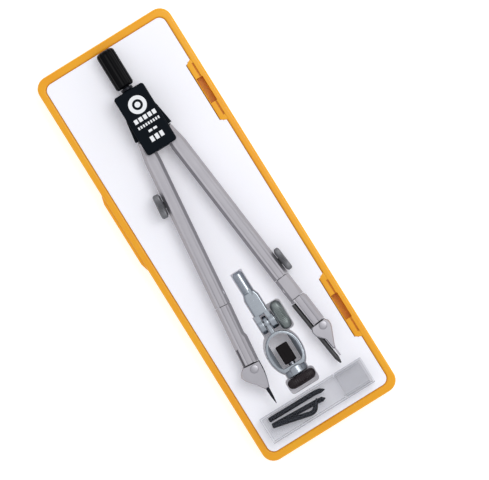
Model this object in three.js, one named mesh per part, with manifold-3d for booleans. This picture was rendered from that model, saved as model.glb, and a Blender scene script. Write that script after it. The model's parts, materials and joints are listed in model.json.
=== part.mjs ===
// Drafting compass set: a compass, a universal pen holder and a box of spare points in a shallow tray.
// Millimetres, +Z up. The origin is the centre of the tray's underside, +Y is towards the compass's handle.
import * as THREE from "three";
import { mergeVertices } from "three/addons/utils/BufferGeometryUtils.js";
import Module from "manifold-3d";

const wasm = await Module();
wasm.setup();

// ---- driving dimensions ----
const GAP = 0.3; // between pieces that touch or fit together
const ROUND_SIDES = 24; // facets of a round piece
const PAST = 1; // how far a cutting tool runs past the faces that it opens

// case
const TRAY = {
  width: 65.5, length: 190, height: 14.8, floor: 1.8, corner: 5.5, bead: 0.9,
  rim: 3.1, endRim: 3.5, innerCorner: 3.5, ledgeDrop: 1.5, ledgeWidth: 1.5,
};
const HINGE_BLOCK = { inner: 27.0, outer: 30, chamfer: 1.8, drop: 0.2, spans: [[39, 69], [-69, -37.5]] };
const HINGE_GROOVE = { x: 29.6, width: 0.8, length: 25.5, depth: 1.6 };
const HINGE_SLOT = { x0: 27.4, x1: 30.4, length: 12, depth: 6, centres: [54.4, -53.6] };
const THUMB_LEDGE = { reach: 1.1, y0: 2, y1: 40, taper: 4, z0: 10.6, z1: 13.4 };
const LINER = { thickness: 1.0, top: 14.6 };
const POCKET = { floor: 3.5, clearance: 0.4, knobTravel: 1.3, foldRoom: 1.3, knobCorner: 1.6 };

// compass head, in a frame whose origin is midway between the leg pivots
const COMPASS = { x: 0.2, y: 59.6, z: 20.6, turn: -0.2 };
const HEAD = {
  halfWidth: 7.2, top: 11.5, bottom: -16.6, back: -5.7, front: 5.7,
  plate: 2.2, corner: 1.3, edge: 0.5, bridge: 6.6, bridgeTop: 3.2, pinCover: 0.7,
};
const PIVOT = { spread: 4.55, lean: 5.95, pin: 1.5, hole: 1.8 };
const SECTOR = { teeth: 12, tip: 5.15, root: 3.7, tipHalf: 4.2, rootHalf: 9.4 };
const KNUCKLE = { topHalf: 2.95, bottomHalf: 3.4, end: 9.3 };
const HANDLE = {
  radius: 4.1, bottom: 13.4, top: 31.2, edge: 0.8, flutes: 14, fluteDepth: 0.22, neck: 2.7,
};
const HEAD_SCREW = { x: 5, y: 9, radius: 0.8, head: 1.5, headThick: 0.8, depth: 3.6 };
const STUD = { radius: 1.6, start: 8, top: 20 };

// legs: widths across the leg, places down it from the pivot
const LEG = {
  half: 3.5, thick: 3.2, chamfer: 1.3, chamferDepth: 1.5, past: 2,
  start: 9.6, shoulderHalf: 2.5, shoulderEnd: 19,
};
const TANG = { half: 1.7, thick: 1.4, top: 5 };
const KNEE = {
  inset: 1.6, above: 5, tongue: 1.1, slot: 1.4, boss: 1.9, pin: 1.2, hole: 1.5, cover: 0.7,
  gap: 0.3, reach: 3.1,
};
const LEFT = { knee: 87, thumb: { place: 38, radius: 5.4, reach: 3.2, depth: 1.9 } };
const RIGHT = { mouth: 89.6, knee: 100.2, thumb: { place: 84, radius: 5.4, reach: 2.7, depth: 0.85 } };
const THUMB_STUD = { radius: 1.4, hole: 1.7, holeDepth: 2.2 };
const SHANK = { radius: 2.3, socket: 2.55, length: 9.6 };
const ARM_END = 114; // where the lower arms enter the tip holders

// tips
const TIP_SCREW = { radius: 1.9, shank: 0.9, dome: 0.7, end: 1.45 };
const TENON = { length: 4.4, left: [-3.4, 0.8], right: [-0.9, 3.0] };
const LEFT_TIP = { screw: [-0.5, 116.8], needleTop: [-0.3, 108.5], needleEnd: [-2.66, 133.9] };
const LEFT_HOLDER = [
  [3.7, 114.3], [5.3, 116.0], [6.1, 118.1], [5.0, 120.1], [1.4, 123.5], [-1.0, 126.5], [-3.0, 126.5],
  [-3.8, 122.9], [-4.2, 118.9], [-4.0, 114.3],
];
const RIGHT_TIP = { screw: [1.6, 116.4], leadTop: [-3.0, 102.0], leadEnd: [-2.05, 133.7] };
const RIGHT_HOLDER = [
  [3.6, 114.3], [4.7, 116.0], [4.7, 117.8], [3.9, 119.7], [0.6, 125.7], [0.1, 127.0], [-1.0, 127.0],
  [-1.2, 122.0], [-3.7, 118.4], [-4.0, 116.3], [-3.0, 114.3],
];
const LEAD_BACKING = [-0.75, 0.05, -131, -125, -0.9, 0.9];
const NEEDLE = { shank: 1.0, length: 25.5, bore: 1.3 };
const LEAD = { radius: 1.0, bore: 1.3, length: 31.7, point: 2.6 };

// universal pen holder, in a frame whose origin is on its hinge
const HOLDER = { x: -1.6, y: -43.2, z: 10.4 };
const EAR = { radius: 3.75, left: [-3.9, -1.4], right: [1.1, 4.0], bolt: 1.5, boltEnd: 6.6, hole: 1.8 };
const BODY = { half: 3.2, bottom: 4.2, top: 15.2, taper: 2.4, shankTop: 25.2 };
const RING = {
  half: 7.75, top: -4.8, wide: -14.2, foot: -22.3, footHalf: 4.7, wall: 1.25, height: 4, waist: 4.6,
};
const RING_TONGUE = { x0: -1.1, x1: 0.8, radius: 3.4, height: 3.2 };
const NECK = { radius: 4.75, end: -25.3 };
const CLAMP = {
  jawHalf: 2.8, jawTop: -10.8, jawEnd: -19.3, jawHeight: 3.4,
  screw: 1.75, seat: 2, knob: 6.5, knobEnd: -30, knobEdge: 1.3, knobHole: 2.6,
};
const THUMB_KNOB = { radius: 6.6, x0: 4.3, x1: 9.2 };

// box of spare points
const BOX = {
  x0: -25.9, x1: 24.1, y0: -88, y1: -76, z0: 15, height: 7.6,
  corner: 0.8, wall: 0.9, capWall: 0.7, spigotWall: 0.6, join: 10.9,
};
const SPARE = { radius: 1.05, sides: 8, tip: 0.35 };
const LOW = BOX.z0 + BOX.wall + 1.3;
const HIGH = LOW + 2.4;
const SPARE_POINTS = [
  [[-22.7, -78.5, LOW], [0.4, -78.7, LOW], [4.3, -79.6, LOW + 1.6]],
  [[-22.7, -81.3, LOW], [-0.4, -82.4, LOW], [2.6, -82.9, LOW + 1.4]],
  [[-22.7, -81.2, HIGH], [-4.3, -85.6, HIGH], [-0.6, -80.9, HIGH]],
];

const COLOUR = {
  tray: 0xe9a93a, liner: 0xf2f1f4, blackPlastic: 0x07101c, grip: 0x0c0c0f, satin: 0xaeacb0, knob: 0x66666a,
  steel: 0x8f9298, darkSteel: 0x20222a, graphite: 0x17181c, holder: 0x7a858e, rubber: 0x0b080a,
  clear: 0xc8cdd4,
};

// ---- helpers ----
const rad = THREE.MathUtils.degToRad;

function metal(color) {
  return new THREE.MeshStandardMaterial({ color, metalness: 0.9, roughness: 0.38 });
}

function plastic(color, roughness = 0.35) {
  return new THREE.MeshStandardMaterial({ color, metalness: 0, roughness });
}

function solid(geometry) {
  const bare = geometry.clone();
  bare.deleteAttribute("normal");
  bare.deleteAttribute("uv");
  const merged = mergeVertices(bare, 1e-4);
  const vertProperties = new Float32Array(merged.attributes.position.array);
  const triVerts = new Uint32Array(merged.index.array);
  return new wasm.Manifold(new wasm.Mesh({ numProp: 3, vertProperties, triVerts }));
}

function surface(body) {
  const mesh = body.getMesh();
  const geometry = new THREE.BufferGeometry();
  geometry.setAttribute("position", new THREE.BufferAttribute(mesh.vertProperties, 3));
  geometry.setIndex(new THREE.BufferAttribute(mesh.triVerts, 1));
  geometry.computeVertexNormals();
  return geometry;
}

function join(base, ...more) {
  return surface(more.reduce((sum, next) => sum.add(solid(next)), solid(base)));
}

function cut(base, ...tools) {
  return surface(tools.reduce((rest, tool) => rest.subtract(solid(tool)), solid(base)));
}

function block(x0, x1, y0, y1, z0, z1) {
  return new THREE.BoxGeometry(x1 - x0, y1 - y0, z1 - z0)
    .translate((x0 + x1) / 2, (y0 + y1) / 2, (z0 + z1) / 2);
}

// A flat shape in XY given thickness from z0 to z1, with its edges chamfered by (size, depth).
function plate(shape, z0, z1, size = 0, depth = size, curveSegments = 8) {
  const geometry = new THREE.ExtrudeGeometry(shape, {
    depth: z1 - z0 - 2 * depth, bevelEnabled: size > 0, bevelSegments: 1,
    bevelSize: size, bevelThickness: depth, bevelOffset: -size, curveSegments,
  });
  return geometry.translate(0, 0, z0 + depth);
}

function outline(points) {
  return new THREE.Shape(points.map(([x, y]) => new THREE.Vector2(x, y)));
}

function roundedRect(x0, x1, y0, y1, r) {
  const shape = new THREE.Shape();
  shape.moveTo(x0 + r, y0).lineTo(x1 - r, y0);
  shape.absarc(x1 - r, y0 + r, r, -Math.PI / 2, 0);
  shape.lineTo(x1, y1 - r).absarc(x1 - r, y1 - r, r, 0, Math.PI / 2);
  shape.lineTo(x0 + r, y1).absarc(x0 + r, y1 - r, r, Math.PI / 2, Math.PI);
  shape.lineTo(x0, y0 + r).absarc(x0 + r, y0 + r, r, Math.PI, 1.5 * Math.PI);
  return shape;
}

// A turned piece from [radius, place] pairs along the axis "x", "y" or "z".
function turned(profile, axis = "y", segments = ROUND_SIDES) {
  const geometry = new THREE.LatheGeometry(profile.map(([r, t]) => new THREE.Vector2(r, t)), segments);
  if (axis === "x") geometry.rotateZ(-Math.PI / 2);
  if (axis === "z") geometry.rotateX(Math.PI / 2);
  return geometry;
}

function rod(radius, from, to, axis = "y", segments = ROUND_SIDES) {
  return turned([[0, from], [radius, from], [radius, to], [0, to]], axis, segments);
}

function chamferedRod(radius, from, to, chamfer, axis, segments = ROUND_SIDES) {
  const profile = [
    [0, from], [radius - chamfer, from], [radius, from + chamfer],
    [radius, to - chamfer], [radius - chamfer, to], [0, to],
  ];
  return turned(profile, axis, segments);
}

function piece(name, geometry, material, parent) {
  const mesh = new THREE.Mesh(geometry, material);
  mesh.name = name;
  parent.add(mesh);
  return mesh;
}

function frameAt(parent, x, y, z, turnDegrees = 0) {
  const group = new THREE.Group();
  group.position.set(x, y, z);
  group.rotation.z = rad(turnDegrees);
  parent.add(group);
  return group;
}

// ---- case ----
function openingShape(inset) {
  const halfX = TRAY.width / 2 - TRAY.rim - inset;
  const halfY = TRAY.length / 2 - TRAY.endRim - inset;
  return roundedRect(-halfX, halfX, -halfY, halfY, Math.max(TRAY.innerCorner - inset, 1));
}

function hingeBlockShape([y0, y1], grow = 0) {
  const { inner, outer, chamfer } = HINGE_BLOCK;
  const x = inner - grow;
  return outline([
    [outer, y0 - grow], [outer, y1 + grow], [x, y1 + grow - chamfer], [x, y0 - grow + chamfer],
  ]);
}

function caseTray() {
  const { width, length, height, floor, corner, bead, ledgeDrop, ledgeWidth } = TRAY;
  const outer = roundedRect(-width / 2, width / 2, -length / 2, length / 2, corner);
  const mouth = plate(openingShape(0), height - ledgeDrop, height + PAST);
  const well = plate(openingShape(ledgeWidth), floor, height + PAST);
  let body = solid(plate(outer, 0, height, bead, bead, 5));
  body = body.subtract(solid(mouth)).subtract(solid(well));
  for (const span of HINGE_BLOCK.spans) {
    body = body.add(solid(plate(hingeBlockShape(span), floor - PAST, height - HINGE_BLOCK.drop)));
  }
  for (const y of HINGE_SLOT.centres) {
    const { x, width: w, length: l, depth } = HINGE_GROOVE;
    const groove = block(x - w / 2, x + w / 2, y - l / 2, y + l / 2, height - depth, height + PAST);
    const { x0, x1, length: slotLength, depth: slotDepth } = HINGE_SLOT;
    const half = slotLength / 2;
    const slot = block(x0, x1, y - half, y + half, height - slotDepth, height + PAST);
    body = body.subtract(solid(groove)).subtract(solid(slot));
  }
  const { reach, y0, y1, taper, z0, z1 } = THUMB_LEDGE;
  const side = -width / 2;
  const ledge = outline([[side + 1, y0], [side, y0], [side - reach, y0 + taper], [side - reach, y1 - taper],
    [side, y1], [side + 1, y1]]);
  return surface(body.add(solid(plate(ledge, z0, z1))));
}

// The pen holder's plan outline at a clearance, as a solid from z0 to z1 in the holder's frame.
function holderFootprint(clearance, z0, z1) {
  const c = clearance;
  const box = (x0, x1, y0, y1) => block(x0 - c, x1 + c, y0 - c, y1 + c, z0, z1);
  const round = (x0, x1, y0, y1) => {
    return plate(roundedRect(x0 - c, x1 + c, y0 - c, y1 + c, POCKET.knobCorner), z0, z1);
  };
  const { half, top, taper, shankTop } = BODY;
  const r = SHANK.radius;
  return join(
    plate(ringShape(-c), z0, z1, 0, 0, 9),
    plate(ringShape(-c), z0, z1, 0, 0, 9).translate(0, POCKET.foldRoom, 0),
    box(-r, r, 0, shankTop),
    plate(outline([[-half - c, 0], [half + c, 0], [half + c, top - taper], [r + c, top], [-r - c, top],
      [-half - c, top - taper]]), z0, z1),
    box(EAR.left[0], EAR.right[1], -EAR.radius - 1, EAR.radius + 1),
    round(EAR.right[1] - 1, THUMB_KNOB.x1, -THUMB_KNOB.radius, THUMB_KNOB.radius),
    box(-NECK.radius, NECK.radius, NECK.end, RING.foot + 1),
    round(-CLAMP.knob, CLAMP.knob, CLAMP.knobEnd - POCKET.knobTravel, NECK.end + GAP),
  ).translate(HOLDER.x, HOLDER.y, 0);
}

function caseLiner() {
  const { thickness, top } = LINER;
  let sheet = solid(plate(openingShape(GAP), top - thickness, top));
  for (const span of HINGE_BLOCK.spans) {
    sheet = sheet.subtract(solid(plate(hingeBlockShape(span, GAP), top - thickness - PAST, top + PAST)));
  }
  const { floor, clearance } = POCKET;
  const well = holderFootprint(clearance + thickness, floor - thickness, top - thickness / 2);
  const hollow = holderFootprint(clearance, floor, top + PAST);
  return surface(sheet.add(solid(well)).subtract(solid(hollow)));
}

function buildCase(parent) {
  piece("case_tray", caseTray(), plastic(COLOUR.tray), parent);
  piece("case_liner", caseLiner(), plastic(COLOUR.liner, 0.5), parent);
}

// ---- compass head ----
function headShape() {
  return roundedRect(-HEAD.halfWidth, HEAD.halfWidth, HEAD.bottom, HEAD.top, HEAD.corner);
}

function pinHoles(z0, z1) {
  return [-1, 1].map((side) => rod(PIVOT.hole, z0, z1, "z").translate(side * PIVOT.spread, 0, 0));
}

function headFrontPlate() {
  const { front, plate: thickness, edge, pinCover } = HEAD;
  const inner = front - thickness;
  const body = plate(headShape(), inner, front, edge, edge, 4);
  return cut(body, ...pinHoles(inner - PAST, front - pinCover));
}

function headBackShell() {
  const { back, top, edge, bridge: bridgeY, bridgeTop, pinCover } = HEAD;
  const inner = back + HEAD.plate;
  const half = HEAD.halfWidth - 0.2;
  const bridge = block(-half, half, bridgeY, top - 0.2, inner - 1, bridgeTop);
  const base = join(plate(headShape(), back, inner, edge, edge, 4), bridge);
  const { x, y, radius, head, headThick, depth } = HEAD_SCREW;
  const screws = [-1, 1].flatMap((side) => [
    rod(radius + GAP, back - PAST, back + depth + GAP, "z", 16).translate(side * x, y, 0),
    rod(head + GAP, back - PAST, back + headThick + 0.4, "z", 16).translate(side * x, y, 0),
  ]);
  const studHole = rod(STUD.radius + GAP, STUD.start - GAP, top + PAST);
  return cut(base, ...pinHoles(back + pinCover, inner + PAST), studHole, ...screws);
}

function headScrew() {
  const { radius, head, headThick, depth } = HEAD_SCREW;
  const z0 = HEAD.back + 0.1;
  const z1 = z0 + headThick;
  const z2 = HEAD.back + depth;
  return turned([[0, z0], [head, z0], [head, z1], [radius, z1], [radius, z2], [0, z2]], "z", 16);
}

function handleStud() {
  const { radius, start, top } = STUD;
  return turned([[0, start], [radius, start], [radius, HEAD.top + GAP], [HANDLE.neck, HEAD.top + GAP],
    [HANDLE.neck, HANDLE.bottom - GAP], [radius, HANDLE.bottom - GAP], [radius, top], [0, top]]);
}

function handleGrip() {
  const points = [];
  const count = HANDLE.flutes * 4;
  for (let i = 0; i < count; i++) {
    const angle = (2 * Math.PI * i) / count;
    const r = HANDLE.radius - HANDLE.fluteDepth * (1 - Math.cos(angle * HANDLE.flutes)) / 2;
    points.push([r * Math.cos(angle), r * Math.sin(angle)]);
  }
  const { bottom, top, edge } = HANDLE;
  const grip = plate(outline(points), bottom, top, edge).rotateX(-Math.PI / 2);
  return cut(grip, rod(STUD.radius + GAP, bottom - PAST, STUD.top + GAP));
}

function buildHead(parent) {
  piece("head_front_plate", headFrontPlate(), plastic(COLOUR.blackPlastic), parent);
  piece("head_back_shell", headBackShell(), plastic(COLOUR.blackPlastic), parent);
  piece("handle_stud", handleStud(), metal(COLOUR.darkSteel), parent);
  piece("handle_grip", handleGrip(), plastic(COLOUR.grip), parent);
  for (const [name, side] of [["left", -1], ["right", 1]]) {
    const pin = chamferedRod(PIVOT.pin, HEAD.back + 1, HEAD.front - 1, 0.3, "z");
    piece(`head_pivot_pin_${name}`, pin, metal(COLOUR.steel), parent).position.x = side * PIVOT.spread;
    piece(`head_screw_${name}`, headScrew(), metal(COLOUR.steel), parent)
      .position.set(side * HEAD_SCREW.x, HEAD_SCREW.y, 0);
  }
}

// ---- legs: each is drawn in its own frame, u outwards from the leg's centre line and v down it ----
function legPoints(side, pairs) {
  return outline(pairs.map(([u, v]) => [side * u, -v]));
}

// Outline of a knuckle: a toothed sector on the inner side and a straight bar below.
function knuckleShape(side) {
  const half = 180 / SECTOR.teeth;
  const points = [[KNUCKLE.bottomHalf, KNUCKLE.end], [KNUCKLE.topHalf, 0]];
  const polar = (r, degrees) => [-r * Math.cos(rad(degrees)), -r * Math.sin(rad(degrees))];
  for (const angle of [165, 140, 115, 95]) points.push(polar(KNUCKLE.topHalf, angle));
  const first = side < 0 ? 60 : 75; // the left has a tooth on the line of centres, the right a space
  for (let place = first; place > -50; place -= 2 * half) {
    const middle = place + PIVOT.lean;
    points.push(polar(SECTOR.root, middle + SECTOR.rootHalf), polar(SECTOR.tip, middle + SECTOR.tipHalf));
    points.push(polar(SECTOR.tip, middle - SECTOR.tipHalf), polar(SECTOR.root, middle - SECTOR.rootHalf));
  }
  points.push([-KNUCKLE.bottomHalf, 4.4], [-KNUCKLE.bottomHalf, KNUCKLE.end]);
  return legPoints(side, points);
}

function knuckle(side) {
  const { half, thick, top } = TANG;
  const body = plate(knuckleShape(side), -LEG.thick, LEG.thick);
  const slot = block(-half - GAP, half + GAP, -KNUCKLE.end - 1, -top + GAP, -thick - GAP, thick + GAP);
  return cut(body, rod(PIVOT.hole, -LEG.thick - 1, LEG.thick + 1, "z"), slot);
}

// A bar chamfered along its sides: it's drawn past each of its square ends and trimmed there.
function chamferedBar(side, pairs, start, end) {
  const bar = plate(legPoints(side, pairs), -LEG.thick, LEG.thick, LEG.chamfer, LEG.chamferDepth);
  const trim = (v0, v1) => block(-LEG.half - 2, LEG.half + 2, -v1, -v0, -LEG.thick - PAST, LEG.thick + PAST);
  const tools = [trim(end, end + 2 * LEG.past)];
  if (start) tools.push(trim(start - 2 * LEG.past, start));
  return cut(bar, ...tools);
}

function upperBar(side, end) {
  const { half, start, shoulderHalf, shoulderEnd, past } = LEG;
  return chamferedBar(side, [
    [-shoulderHalf, start], [-half, shoulderEnd], [-half, end + past],
    [half, end + past], [half, shoulderEnd], [shoulderHalf, start],
  ], 0, end);
}

function tang() {
  return block(-TANG.half, TANG.half, -LEG.start - 1.5, -TANG.top, -TANG.thick, TANG.thick);
}

// The open slot between a fork's ears, from the end of the fork up past its pin.
function forkSlot(side, end) {
  const top = end - KNEE.above - KNEE.boss - 0.6;
  return block(-LEG.half - 1, LEG.half + 1, -end - 1, -top, -KNEE.slot, KNEE.slot);
}

function kneeHole(side, end) {
  const bore = rod(KNEE.hole, -LEG.thick - PAST, LEG.thick - KNEE.cover, "z");
  return bore.translate(-side * KNEE.inset, -end + KNEE.above, 0);
}

// The tongue that enters the fork: a rounded blade about the pin, running down into the arm.
function kneeTongue(side, end) {
  const { inset, above, boss, tongue, gap, reach } = KNEE;
  const outer = reach - inset;
  const points = [[outer, gap + 1.5], [outer, -above + 1]];
  for (let degrees = 30; degrees <= 180; degrees += 25) {
    points.push([boss * Math.cos(rad(degrees)) - inset, -above - boss * Math.sin(rad(degrees))]);
  }
  points.push([-boss - inset + 0.3, gap + 1.5]);
  const shape = legPoints(side, points.map(([u, v]) => [u, v + end]));
  return plate(shape, -tongue, tongue);
}

function kneePin(side, end, parent, name) {
  const pin = chamferedRod(KNEE.pin, -LEG.thick + 0.2, LEG.thick - KNEE.cover - GAP, 0.2, "z", 20);
  piece(name, pin, metal(COLOUR.satin), parent).position.set(-side * KNEE.inset, -end + KNEE.above, 0);
}

// Thumb screw: a round head with a flange against the leg and a plain stud into it, along +X.
function thumbScrew({ radius, reach, depth }) {
  const seat = LEG.half + GAP;
  const end = LEG.half - depth;
  const stud = THUMB_STUD.radius;
  return turned([
    [0, end], [stud, end], [stud, seat], [radius - 1.2, seat], [radius, seat + 0.7],
    [radius, seat + reach - 0.6], [radius - 0.7, seat + reach], [0, seat + reach],
  ], "x");
}

function mirrored(geometry, side) {
  return side < 0 ? geometry.rotateZ(Math.PI) : geometry;
}

function addThumbScrew(side, size, parent, name) {
  piece(name, mirrored(thumbScrew(size), side), metal(COLOUR.knob), parent).position.y = -size.place;
}

function sideHole(side, { place }) {
  const { hole, holeDepth } = THUMB_STUD;
  const bore = rod(hole, LEG.half - holeDepth, LEG.half + PAST, "x", 20);
  return mirrored(bore, side).translate(0, -place, 0);
}

// ---- tips ----
function tipScrew() {
  const { radius, shank, dome, end } = TIP_SCREW;
  const seat = LEG.thick + 0.1;
  return turned([
    [0, end], [shank, end], [shank, seat], [radius, seat], [radius, seat + 0.3],
    [radius * 0.7, seat + dome], [0, seat + dome + 0.15],
  ], "z", 20);
}

function tipScrewHole(u, v, side) {
  return rod(TIP_SCREW.shank + GAP, TIP_SCREW.end - GAP, LEG.thick + 1, "z", 16).translate(side * u, -v, 0);
}

// A straight pin along the line from (u0, v0) to (u1, v1), with a profile of [radius, distance] pairs.
function pinAlong(side, [u0, v0], [u1, v1], profile, segments = 16) {
  const turn = Math.atan2(side * (u1 - u0), v1 - v0);
  return turned(profile.map(([r, t]) => [r, -t]).reverse(), "y", segments).rotateZ(turn)
    .translate(side * u0, -v0, 0);
}

function needle(side) {
  const { shank, length } = NEEDLE;
  const profile = [
    [0, 0], [shank, 0], [shank, length - 8.4], [0.85, length - 7.8], [0.55, length - 3],
    [0.12, length], [0, length],
  ];
  return pinAlong(side, LEFT_TIP.needleTop, LEFT_TIP.needleEnd, profile);
}

function lead(side) {
  const { radius, length, point } = LEAD;
  const profile = [[0, 0], [radius, 0], [radius, length - point], [0.35, length], [0, length]];
  return pinAlong(side, RIGHT_TIP.leadTop, RIGHT_TIP.leadEnd, profile);
}

// A straight hole for a needle or lead, along the line between its two ends.
function tipBore(side, top, end, radius, length) {
  return pinAlong(side, top, end, [[0, -GAP], [radius, -GAP], [radius, length], [0, length]]);
}

// The lower arm, its blade-shaped tongue at the knee and the tenon that enters the tip holder.
function lowerArm(side, knee, pairs, tenon, ...tools) {
  const bar = chamferedBar(side, pairs, knee + KNEE.gap, ARM_END);
  const end = block(...tenon, -ARM_END - TENON.length, -ARM_END + 2, -KNEE.tongue, KNEE.tongue);
  const joined = join(bar, kneeTongue(side, knee), end);
  return cut(joined, kneeHole(side, knee), ...tools);
}

function holderPlate(side, pairs) {
  return plate(legPoints(side, pairs), -LEG.thick, LEG.thick, 0.4, 0.8);
}

function tipHolder(body, tenon, ...tools) {
  const [x0, x1] = tenon;
  const end = -ARM_END - TENON.length - GAP;
  const mortise = block(x0 - GAP, x1 + GAP, end, -ARM_END + PAST, -KNEE.slot, KNEE.slot);
  return cut(body, mortise, ...tools);
}

function buildLeftLeg(parent) {
  const side = -1;
  const leg = frameAt(parent, side * PIVOT.spread, 0, 0, side * PIVOT.lean);
  piece("left_knuckle", knuckle(side), plastic(COLOUR.blackPlastic), leg);
  const bar = join(upperBar(side, LEFT.knee), tang());
  const upper = cut(bar, forkSlot(side, LEFT.knee), kneeHole(side, LEFT.knee), sideHole(side, LEFT.thumb));
  piece("left_leg", upper, metal(COLOUR.satin), leg);
  addThumbScrew(side, LEFT.thumb, leg, "left_thumb_screw");
  kneePin(side, LEFT.knee, leg, "left_knee_pin");

  const start = LEFT.knee + KNEE.gap - LEG.past;
  const end = ARM_END + LEG.past;
  const armPairs = [
    [-3.5, start], [-3.3, 101], [-3.9, 102.5], [-3.9, end], [3.5, end], [3.5, start],
  ];
  const bore = tipBore(side, LEFT_TIP.needleTop, LEFT_TIP.needleEnd, NEEDLE.bore, 26);
  const split = block(-3.2, -2.3, -ARM_END - 1, -106.5, -0.4, 4);
  const screwHole = tipScrewHole(...LEFT_TIP.screw, side);
  const arm = lowerArm(side, LEFT.knee, armPairs, TENON.left, bore, split, screwHole);
  piece("left_lower_arm", arm, metal(COLOUR.satin), leg);
  const nose = tipHolder(holderPlate(side, LEFT_HOLDER), TENON.left, bore, screwHole);
  piece("left_tip_holder", nose, metal(COLOUR.satin), leg);
  const [u, v] = LEFT_TIP.screw;
  piece("left_tip_screw", tipScrew(), metal(COLOUR.steel), leg).position.set(side * u, -v, 0);
  piece("needle_point", needle(side), metal(COLOUR.darkSteel), leg);
}

function insertBlock(side) {
  const start = RIGHT.mouth + GAP;
  const half = LEG.half - 0.1;
  const [top, foot] = [start - LEG.past, RIGHT.knee + LEG.past];
  const bar = chamferedBar(side, [[-half, top], [-half, foot], [half, foot], [half, top]], start, RIGHT.knee);
  const shank = chamferedRod(SHANK.radius, -start - 1.6, -start + SHANK.length, 0.5, "y");
  return cut(join(bar, shank), forkSlot(side, RIGHT.knee), kneeHole(side, RIGHT.knee));
}

function buildRightLeg(parent) {
  const side = 1;
  const leg = frameAt(parent, side * PIVOT.spread, 0, 0, side * PIVOT.lean);
  piece("right_knuckle", knuckle(side), plastic(COLOUR.blackPlastic), leg);
  const socket = rod(SHANK.socket, -RIGHT.mouth - 1, -RIGHT.mouth + SHANK.length, "y");
  const bar = join(upperBar(side, RIGHT.mouth), tang());
  piece("right_leg", cut(bar, socket, sideHole(side, RIGHT.thumb)), metal(COLOUR.satin), leg);
  addThumbScrew(side, RIGHT.thumb, leg, "right_thumb_screw");
  piece("right_insert", insertBlock(side), metal(COLOUR.satin), leg);
  kneePin(side, RIGHT.knee, leg, "right_knee_pin");

  const start = RIGHT.knee + KNEE.gap - LEG.past;
  const end = ARM_END + LEG.past;
  const armPairs = [
    [-3.4, start], [-3.4, end], [3.95, end], [3.95, start + 3.6], [3.3, start + 2], [3.3, start],
  ];
  const leadSide = [[-5, 101.7], [-1.65, 101.7], [-1.3, ARM_END + 1], [-5, ARM_END + 1]];
  const notch = plate(legPoints(side, leadSide), -LEG.thick - PAST, LEG.thick + PAST);
  const bore = tipBore(side, RIGHT_TIP.leadTop, RIGHT_TIP.leadEnd, LEAD.bore, 32);
  const screwHole = tipScrewHole(...RIGHT_TIP.screw, side);
  const arm = lowerArm(side, RIGHT.knee, armPairs, TENON.right, notch, bore, screwHole);
  piece("right_lower_arm", arm, metal(COLOUR.satin), leg);
  const nose = join(holderPlate(side, RIGHT_HOLDER), block(...LEAD_BACKING));
  piece("right_tip_holder", tipHolder(nose, TENON.right, bore, screwHole), metal(COLOUR.satin), leg);
  const [u, v] = RIGHT_TIP.screw;
  piece("right_tip_screw", tipScrew(), metal(COLOUR.steel), leg).position.set(side * u, -v, 0);
  piece("pencil_lead", lead(side), plastic(COLOUR.graphite, 0.5), leg);
}

function buildCompass(parent) {
  const compass = frameAt(parent, COMPASS.x, COMPASS.y, COMPASS.z, COMPASS.turn);
  buildHead(compass);
  buildLeftLeg(compass);
  buildRightLeg(compass);
}

// ---- universal pen holder, drawn about its hinge: x along the hinge axis, y up the shank ----
function holderShank() {
  const { half, bottom, top, taper, shankTop } = BODY;
  const r = SHANK.radius;
  const bodyOutline = outline([
    [-half, bottom], [half, bottom], [half, top - taper], [r, top], [-r, top], [-half, top - taper],
  ]);
  const body = plate(bodyOutline, -half, half, 0.7);
  const shank = turned([[0, top - 3], [r, top - 3], [r, shankTop - 1], [r - 0.9, shankTop], [0, shankTop]]);
  const ears = [EAR.left, EAR.right].map(([x0, x1]) => {
    const web = block(x0, Math.min(x1, half), 0, bottom + 0.4, -half, half);
    return join(rod(EAR.radius, x0, x1, "x"), web);
  });
  const saw = block(0.3, 1.5, top - 1.6, top + 1.2, 1.3, 4);
  return cut(join(body, shank, ...ears), rod(EAR.hole, -6, 6, "x", 20), saw);
}

function ringShape(wall) {
  const { half, top, wide, foot, footHalf } = RING;
  const w = half - wall;
  const shape = new THREE.Shape();
  const crown = top - wall;
  const sole = foot + wall * 1.4;
  const narrow = footHalf - wall * 0.4;
  shape.moveTo(0, crown);
  shape.bezierCurveTo(-w * 0.6, crown, -w, wide + 5, -w, wide);
  shape.bezierCurveTo(-w, wide - 4, -narrow - 1.5, sole + 1, -narrow, sole).lineTo(narrow, sole);
  shape.bezierCurveTo(narrow + 1.5, sole + 1, w, wide - 4, w, wide);
  return shape.bezierCurveTo(w, wide + 5, w * 0.6, crown, 0, crown);
}

// The ring's inside slopes in to a narrower waist at mid-height, so that a pen centres itself in it.
function ringHollow(end) {
  const { wall, height, waist } = RING;
  const hollow = plate(ringShape(wall), -GAP, height + PAST, 0, 0, 9);
  const places = hollow.attributes.position;
  for (let i = 0; i < places.count; i++) {
    const x = places.getX(i);
    const inner = THREE.MathUtils.clamp(x, -waist, waist);
    places.setX(i, places.getZ(i) < 0 ? inner : x + ((x - inner) * PAST) / (height + GAP));
  }
  return end < 0 ? hollow.rotateY(Math.PI) : hollow;
}

function holderRing() {
  const band = plate(ringShape(0), -RING.height, RING.height, 0.5, 0.5, 9);
  const { x0, x1, radius, height } = RING_TONGUE;
  const tongue = join(rod(radius, x0, x1, "x"), block(x0, x1, RING.top - 1, 0, -height, height));
  const start = RING.foot + 1.2;
  const neck = turned([
    [0, NECK.end], [NECK.radius - 0.4, NECK.end], [NECK.radius, NECK.end + 0.4],
    [NECK.radius, start], [0, start],
  ]);
  const bore = rod(CLAMP.screw + GAP, NECK.end - PAST, RING.foot + 5, "y", 20);
  return cut(join(band, tongue, neck), ringHollow(1), ringHollow(-1), bore, rod(EAR.hole, -3, 3, "x", 20));
}

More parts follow.
